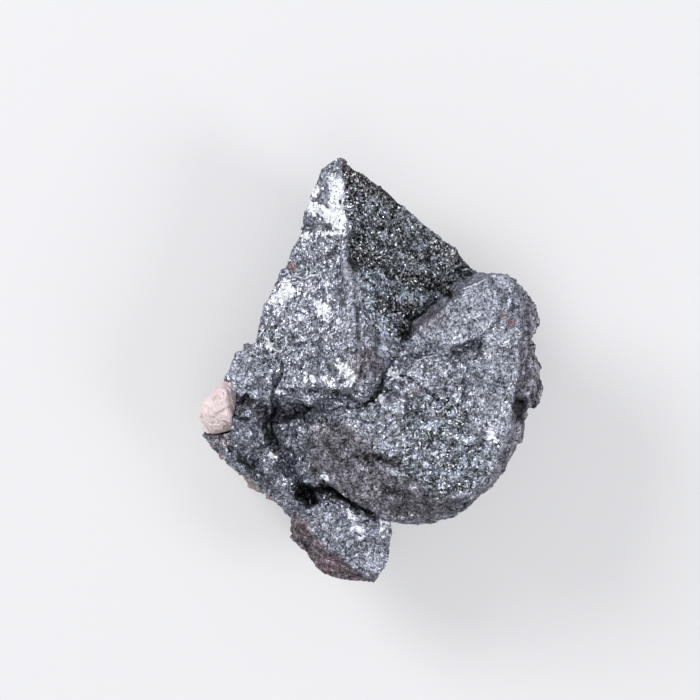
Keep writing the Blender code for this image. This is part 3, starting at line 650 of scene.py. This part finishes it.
def druse_tree():
    """Geometry Nodes: small flat crystals scattered over one zone of the skin, leaning at all angles."""
    group = bpy.data.node_groups.new("druse", "GeometryNodeTree")
    group.interface.new_socket("Geometry", in_out="INPUT", socket_type="NodeSocketGeometry")
    group.interface.new_socket("Geometry", in_out="OUTPUT", socket_type="NodeSocketGeometry")
    for name, kind in DRUSE_INPUTS.items():
        group.interface.new_socket(name, in_out="INPUT", socket_type=kind)
    tree = Tree(group)
    given = tree.node("NodeGroupInput").outputs

    def noted(name, kind="FLOAT"):
        return tree.node("GeometryNodeInputNamedAttribute", {"data_type": kind}, Name=name).outputs[0]

    here = tree.node("FunctionNodeCompare", {"data_type": "INT", "operation": "EQUAL"})
    tree.give(here.inputs[2], noted("zone", "INT"))
    tree.give(here.inputs[3], given["Zone"])
    points = tree.node("GeometryNodeDistributePointsOnFaces", Mesh=given["Geometry"], Seed=given["Seed"])
    tree.give(points.inputs["Selection"], here.outputs["Result"])
    density = tree.math("MULTIPLY", given["Crystals per square metre"], noted("cover"))
    tree.give(points.inputs["Density"], density)

    back = tree.math("MULTIPLY", given["Lean"], -1.0)
    least = tree.node("ShaderNodeCombineXYZ", X=back, Y=back, Z=0.0)
    most = tree.node("ShaderNodeCombineXYZ", X=given["Lean"], Y=given["Lean"], Z=math.tau)
    lean = tree.node("FunctionNodeRandomValue", {"data_type": "FLOAT_VECTOR"}, Seed=3)
    tree.give(lean.inputs[0], least.outputs[0])
    tree.give(lean.inputs[1], most.outputs[0])
    leaning = tree.node("FunctionNodeEulerToRotation", Euler=lean.outputs[0])
    turned = tree.node("FunctionNodeRotateRotation", {"rotation_space": "LOCAL"})
    tree.give(turned.inputs[0], points.outputs["Rotation"])
    tree.give(turned.inputs[1], leaning.outputs["Rotation"])

    luck = tree.node("FunctionNodeRandomValue", {"data_type": "FLOAT"}, Seed=5)
    share = tree.math("MULTIPLY", tree.math("POWER", luck.outputs[1], 2.0), noted("coarse"))
    spread = tree.math("SUBTRACT", given["Largest"], given["Smallest"])
    radius = tree.math("ADD", given["Smallest"], tree.math("MULTIPLY", spread, share))
    crystal = tree.node("GeometryNodeObjectInfo", Object=given["Crystal"])
    grown = tree.node("GeometryNodeInstanceOnPoints", Points=points.outputs["Points"], Scale=radius)
    tree.give(grown.inputs["Instance"], crystal.outputs["Geometry"])
    tree.give(grown.inputs["Rotation"], turned.outputs["Rotation"])
    real = tree.node("GeometryNodeRealizeInstances", Geometry=grown.outputs["Instances"])
    finished = tree.node("GeometryNodeSetMaterial", Geometry=real.outputs["Geometry"])
    tree.give(finished.inputs["Material"], given["Finish"])
    tree.node("NodeGroupOutput", Geometry=finished.outputs["Geometry"])
    return group


def flat_octahedron():
    """The crystal that the druse repeats, about one unit in radius: an octahedron pressed flat."""
    flatness = 0.35  # its half height, where its radius is 1
    bm = bmesh.new()
    bmesh.ops.create_cone(bm, cap_ends=False, segments=4, radius1=1.0, radius2=0.0, depth=flatness)
    bmesh.ops.translate(bm, verts=bm.verts, vec=(0, 0, flatness / 2))
    bmesh.ops.scale(bm, verts=bm.verts, vec=(1.3, 0.65, 1.0))
    bmesh.ops.mirror(bm, geom=bm.verts[:] + bm.edges[:] + bm.faces[:], axis="Z", merge_dist=1e-4)
    bmesh.ops.recalc_face_normals(bm, faces=bm.faces)
    mesh = bpy.data.meshes.new("crystal")
    bm.to_mesh(mesh)
    bm.free()
    return bpy.data.objects.new("crystal", mesh)


def druse(skin, tree, number, crystal, finish):
    """One zone of the druse as a plain mesh."""
    carrier = link(bpy.data.objects.new("carrier", skin.data.copy()))
    change = carrier.modifiers.new("druse", "NODES")
    change.node_group = tree
    values = {
        "Zone": number,
        "Crystals per square metre": CRYSTALS_PER_SQUARE_METRE[number],
        "Smallest": 0.07 * MM,
        "Largest": 0.28 * MM,
        "Lean": 1.2,
        "Seed": SEED + number,
        "Crystal": crystal,
        "Finish": finish,
    }
    for item in tree.interface.items_tree:
        if item.in_out == "INPUT" and item.name in values:
            change[item.identifier] = values[item.name]
    return frozen(carrier, ZONES[number])


# Pale veins

def route_of(line, step):
    """Evenly spaced points along a line on the plan."""
    route = []
    for start, end in zip(line[:-1], line[1:]):
        start, end = Vector((*start, 0.0)) * MM, Vector((*end, 0.0)) * MM
        count = max(1, round((end - start).length / step))
        route += [start.lerp(end, n / count) for n in range(count)]
    return route


def veins(skin, finish):
    """Thin raised threads of pale mineral that lie on the faces."""
    bm = bmesh.new()
    bm.from_mesh(skin.data)
    surface = BVHTree.FromBMesh(bm)
    bm.free()
    chance = random.Random(SEED)
    noise.seed_set(SEED)  # noise_vector would start from the clock otherwise
    lift = Vector((0, 0, 0.12 * MM))
    made = bmesh.new()
    for half_width, line in VEINS:
        route = route_of(line, 0.16 * MM)
        section = None
        for before, point, after in zip(route, route[1:], route[2:]):
            sway = noise.noise_vector(point / (0.5 * MM)) * 0.14 * MM
            above = Vector((point.x + sway.x, point.y + sway.y, ABOVE))
            spot = surface.ray_cast(above, DOWN)[0]
            way = (after - before).normalized()
            side = Vector((-way.y, way.x, 0.0)) * half_width * MM * chance.uniform(0.7, 1.9)
            corners = [made.verts.new(spot + offset) for offset in (side - lift, lift, -side - lift)]
            if section:
                for a, b in ((0, 1), (1, 2), (2, 0)):
                    made.faces.new((section[a], section[b], corners[b], corners[a]))
            else:
                made.faces.new(corners)
            section = corners
        made.faces.new(section)
    bmesh.ops.recalc_face_normals(made, faces=made.faces)
    bmesh.ops.triangulate(made, faces=made.faces)
    mesh = bpy.data.meshes.new("pale_veins")
    made.to_mesh(mesh)
    made.free()
    mesh.materials.append(finish)
    return link(bpy.data.objects.new("pale_veins", mesh))


# The host rock

def rock_piece(finish):
    """The host rock: rounded, grown over the working gap, pitted, and dirty along its low rim, with painted
    shade there too.
    """
    rock = even_skin(merged_copy("host_rock", "pale_host_rock"), ROCK_VOXEL)
    worn = rock.modifiers.new("worn", "SMOOTH")
    worn.factor = 0.6
    worn.iterations = 4
    rock = frozen(rock, "pale_host_rock")
    mesh = rock.data
    places, normals = read(mesh, "co") / MM, read(mesh, "normal")
    rim = fade(-places[:, 1], 7.0, 8.5)  # 1 on the low rim and 0 on the knob
    inward = 0.35 + 0.65 * fade(normals[:, 0] + 0.6 * normals[:, 1], -0.6, 0.2)
    height = (ROCK_GAP / MM) * inward * (1.0 - 0.9 * rim) + facets(places, 2.4, 0.12, 2.0)
    height += rim * fade(-normals[:, 1], -0.2, 0.4) * (facets(places, 1.4, 0.35, 7.0) - 0.1)
    height += 0.06 * cloud(places, 0.35, 9.0) - np.maximum(0.0, cloud(places, 0.6, 12.0) - 0.45) * 0.8
    moved = places + normals * height[:, None]
    moved[:, 2] = np.maximum(moved[:, 2], 0.0)
    mesh.vertices.foreach_set("co", (moved * MM).ravel())
    # Where the rim is darker: partly dirty, partly painted shade.
    keep(mesh, "dirt", rim)
    mesh.update()
    triangles(rock)
    rock.data.materials.clear()
    rock.data.materials.append(finish)
    return rock


# Materials

def new_material(name):
    """A material, with its tree, its main shader and the coordinates of the piece it is on."""
    made = bpy.data.materials.new(name)
    made.use_nodes = True
    tree = Tree(made.node_tree)
    shader = made.node_tree.nodes["Principled BSDF"]
    coords = tree.node("ShaderNodeTexCoord").outputs["Object"]
    return made, tree, shader, coords


def leaning_normal(tree, grains, lean):
    """The surface's direction, leaning another way on each grain."""
    normal = tree.node("ShaderNodeNewGeometry").outputs["Normal"]
    tilt = tree.vector("SUBTRACT", grains, (0.5, 0.5, 0.5))
    normal = tree.vector("ADD", normal, tree.vector("SCALE", tilt, scale=lean))
    return tree.vector("NORMALIZE", normal)


def metal_colour(tree, coords, coarse, brown):
    """Cloudy blue-grey steel, deeper where the grain is coarse, and browned in places."""
    steel = tree.mix(tree.ramp(tree.cloudy(coords, 3.5 * MM), 0.35, 0.65), *STEEL)
    steel = tree.mix(tree.ramp(coarse, 0.6, 1.0), steel, DEEP_STEEL)
    return tree.mix(brown, steel, BROWN)


def painted_grain_shade(tree, coords, coarse, luck, blade):
    """How light each spot is, painted as light and shade: by its grain's luck, in blades, cracks and clumps,
    and darkest in the painted shade of the hollows.
    """
    spread = tree.ramp(coarse, 0.0, 0.8, 0.8, 2.0)
    # Each grain is painted lighter or darker by luck, for the light and shade that its facets catch.
    shade = tree.math("MULTIPLY_ADD", tree.math("SUBTRACT", luck, 0.5), spread, 1.05)
    shade = tree.math("MULTIPLY", shade, tree.ramp(blade, 0.1, 0.5, 0.45, 1.15))
    shade = tree.math("MULTIPLY", shade, tree.ramp(coarse, 0.0, 0.7, 1.10, 0.98))
    # Painted shade in thin cracks between the grains, then painted light and shade in clumps.
    shade = tree.math("MULTIPLY", shade, tree.winding(coords, 0.6 * MM, 0.05, 0.12, 1.1))
    clumps = tree.ramp(tree.cloudy(coords, 0.8 * MM, 3.0), 0.40, 0.60, 0.32, 1.68)
    shade = tree.math("MULTIPLY", shade, tree.math("POWER", clumps, coarse))
    # Painted shade from the hollows and mottling noted on the mesh.
    return tree.math("MULTIPLY", shade, tree.ramp(tree.noted("dark"), 0.0, 1.0, 1.1, 0.12))


def painted_glints(tree, coords, coarse, blade):
    """Painted glints: where single blades and thin winding edges flash, mostly where the grain is coarse."""
    edges = tree.winding(coords, 0.4 * MM, 0.03, 0.6, 0.0)
    glint = tree.math("MAXIMUM", tree.ramp(blade, 0.84, 0.91), edges)
    return tree.math("MULTIPLY", glint, tree.ramp(coarse, 0.3, 1.0, 0.05, 0.95))


def pale_patches(tree, coords, fine):
    """Where the pale patches lie. They have ragged edges and a few dark pinholes."""
    ragged = tree.math("MULTIPLY", tree.math("SUBTRACT", fine, 0.5), 1.8)
    ragged = tree.math("ADD", tree.noted("scuff"), ragged)
    pinholes = tree.ramp(tree.cloudy(coords, 0.22 * MM, 2.0), 0.37, 0.41)
    return tree.math("MULTIPLY", tree.ramp(ragged, -0.04, 0.05), pinholes)


def hematite(name, least_lean, most_lean):
    """Blue-grey metal lustre that glitters grain by grain, with painted glints and painted shade, browned in
    places and pale in patches in others.

    The leans tell how far the fine and the coarse grains tilt away from the surface.
    """
    made, tree, shader, coords = new_material(name)
    coarse = tree.noted("coarse")
    grains = tree.mix(coarse, tree.cells(coords, 0.14 * MM), tree.cells(coords, 0.27 * MM))
    fine = tree.cloudy(coords, 0.5 * MM, 6.0)
    luck = tree.node("ShaderNodeSeparateColor", Color=grains).outputs
    blades = tree.node("ShaderNodeSeparateColor", Color=tree.blades(coords, 0.45 * MM)).outputs
    brown = tree.math("MULTIPLY", tree.noted("brown"), tree.ramp(fine, 0.3, 0.6, 0.6, 1.0))

    stone = metal_colour(tree, coords, coarse, brown)
    # Painted light and shade of the grains and hollows.
    shade = painted_grain_shade(tree, coords, coarse, luck["Red"], blades["Red"])
    stone = tree.vector("SCALE", stone, scale=shade)
    # Painted glints, near-white in the colour.
    stone = tree.mix(painted_glints(tree, coords, coarse, blades["Green"]), stone, PAINTED_GLINT)
    pale_share = pale_patches(tree, coords, fine)
    stone = tree.mix(pale_share, stone, tree.mix(tree.ramp(fine, 0.35, 0.62), *PALE))
    rusty = tree.math("ADD", tree.noted("rust"), tree.math("SUBTRACT", fine, 0.5))
    stone = tree.mix(tree.ramp(rusty, 0.0, 0.4, 0.0, 0.5), stone, RUST)
    tree.give(shader.inputs["Base Color"], stone)
    shader.inputs["Specular Tint"].default_value = EDGE
    tree.give(shader.inputs["Metallic"], tree.ramp(pale_share, 0.0, 1.0, 0.75, 0.2))

    rough = tree.ramp(luck["Blue"], 0.0, 1.0, 0.22, 0.46)
    rough = tree.math("ADD", rough, tree.math("MULTIPLY", brown, 0.12))
    rough = tree.math("ADD", rough, tree.ramp(coarse, 0.0, 0.5, 0.17, 0.0))
    tree.give(shader.inputs["Roughness"], rough)

    normal = leaning_normal(tree, grains, tree.ramp(coarse, 0.0, 1.0, least_lean, most_lean))
    bump = tree.node("ShaderNodeBump", Height=tree.cloudy(coords, 0.12 * MM, 3.0), Normal=normal)
    bump.inputs["Strength"].default_value = 0.12
    bump.inputs["Distance"].default_value = 0.03 * MM
    tree.give(shader.inputs["Normal"], bump.outputs["Normal"])
    return made


def pale_mineral():
    """The threads of pale mineral: dull, and slightly broken in colour."""
    made, tree, shader, coords = new_material("pale_mineral")
    broken = tree.ramp(tree.cloudy(coords, 0.3 * MM), 0.4, 0.6)
    tree.give(shader.inputs["Base Color"], tree.mix(broken, *PALE))
    shader.inputs["Roughness"].default_value = 0.6
    return made


def host_rock():
    """Pale pinkish volcanic rock: dull and grainy, with grey pits, and darker along its low rim, partly
    dirty and partly painted shade.
    """
    made, tree, shader, coords = new_material("host_rock")
    fine = tree.cloudy(coords, 0.25 * MM, 6.0)
    cloudy = tree.ramp(tree.cloudy(coords, 1.6 * MM), 0.35, 0.7)
    rock = tree.mix(cloudy, *ROCK)
    rock = tree.mix(tree.ramp(fine, 0.56, 0.7, 0.0, 0.7), rock, ROCK_PITS)
    patchy = tree.math("MULTIPLY_ADD", tree.cloudy(coords, 1.1 * MM), 1.6, -0.8)
    # Darker along the low rim: partly dirty, partly painted shade.
    dirt = tree.ramp(tree.math("ADD", tree.noted("dirt"), patchy), 0.3, 0.7)
    dirt = tree.math("MULTIPLY", dirt, tree.ramp(fine, 0.3, 0.6, 0.3, 0.8))
    rock = tree.mix(dirt, rock, ROCK_DIRT_AND_SHADE)
    tree.give(shader.inputs["Base Color"], rock)
    shader.inputs["Roughness"].default_value = 0.88
    bump = tree.node("ShaderNodeBump", Height=fine)
    bump.inputs["Strength"].default_value = 0.6
    bump.inputs["Distance"].default_value = 0.06 * MM
    tree.give(shader.inputs["Normal"], bump.outputs["Normal"])
    return made


# The studio

def floor():
    """A wide pale sheet under the stone. It glows faintly, so the shadows on it stay light."""
    bm = bmesh.new()
    bmesh.ops.create_grid(bm, x_segments=1, y_segments=1, size=FLOOR_REACH)
    mesh = bpy.data.meshes.new("floor")
    bm.to_mesh(mesh)
    bm.free()
    made = link(bpy.data.objects.new("floor", mesh))
    finish = bpy.data.materials.new("floor")
    finish.use_nodes = True
    shader = finish.node_tree.nodes["Principled BSDF"]
    shader.inputs["Base Color"].default_value = FLOOR_COLOUR
    shader.inputs["Roughness"].default_value = 0.9
    shader.inputs["Emission Color"].default_value = FLOOR_LIGHT
    shader.inputs["Emission Strength"].default_value = FLOOR_GLOW
    mesh.materials.append(finish)


def lamp(name, place, size, power):
    """A soft square lamp that points at the stone."""
    light = bpy.data.lights.new(name, "AREA")
    light.shape = "SQUARE"
    light.size = size
    light.energy = power
    made = link(bpy.data.objects.new(name, light))
    made.location = place
    made.rotation_euler = (CAMERA_TARGET - Vector(place)).to_track_quat("-Z", "Y").to_euler()


def studio():
    """A pale floor, three soft lamps and a pale sky."""
    floor()
    lamp("key", place=(-0.42, 0.30, 0.42), size=0.30, power=KEY_POWER)
    lamp("side", place=(0.45, -0.12, 0.42), size=0.22, power=SIDE_POWER)
    lamp("top", place=(0.05, -0.20, 0.80), size=0.50, power=TOP_POWER)
    world = bpy.data.worlds.new("studio")
    world.use_nodes = True
    world.node_tree.nodes["Background"].inputs["Color"].default_value = SKY
    bpy.context.scene.world = world
    bpy.context.scene.view_settings.view_transform = "Standard"


def camera():
    """Straight above the stone, through a long lens, with the top of the picture towards +Y."""
    lens = bpy.data.cameras.new("camera")
    lens.sensor_width = SENSOR_WIDTH
    lens.lens = SENSOR_WIDTH * CAMERA_DISTANCE / FRAME_WIDTH
    lens.clip_start = 0.01
    made = link(bpy.data.objects.new("camera", lens))
    made.location = CAMERA_TARGET + Vector((0, 0, CAMERA_DISTANCE))
    bpy.context.scene.camera = made


def main():
    """Builds the studio and all the pieces, each in its own named node, and gives each piece its body."""
    studio()
    camera()
    skin = stone_skin(hematite("hematite", least_lean=0.25, most_lean=1.2))
    crystal_finish = hematite("hematite_crystals", least_lean=0.25, most_lean=0.40)
    tree = druse_tree()
    crystal = flat_octahedron()
    stone_pieces = [druse(skin, tree, number, crystal, crystal_finish) for number in range(len(ZONES))]
    stone_pieces += [skin, veins(skin, pale_mineral())]
    rock = rock_piece(host_rock())

    for piece in stone_pieces:
        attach(piece, "root")
    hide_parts("hematite_cluster")
    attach(rock, "root")
    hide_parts("host_rock")


main()
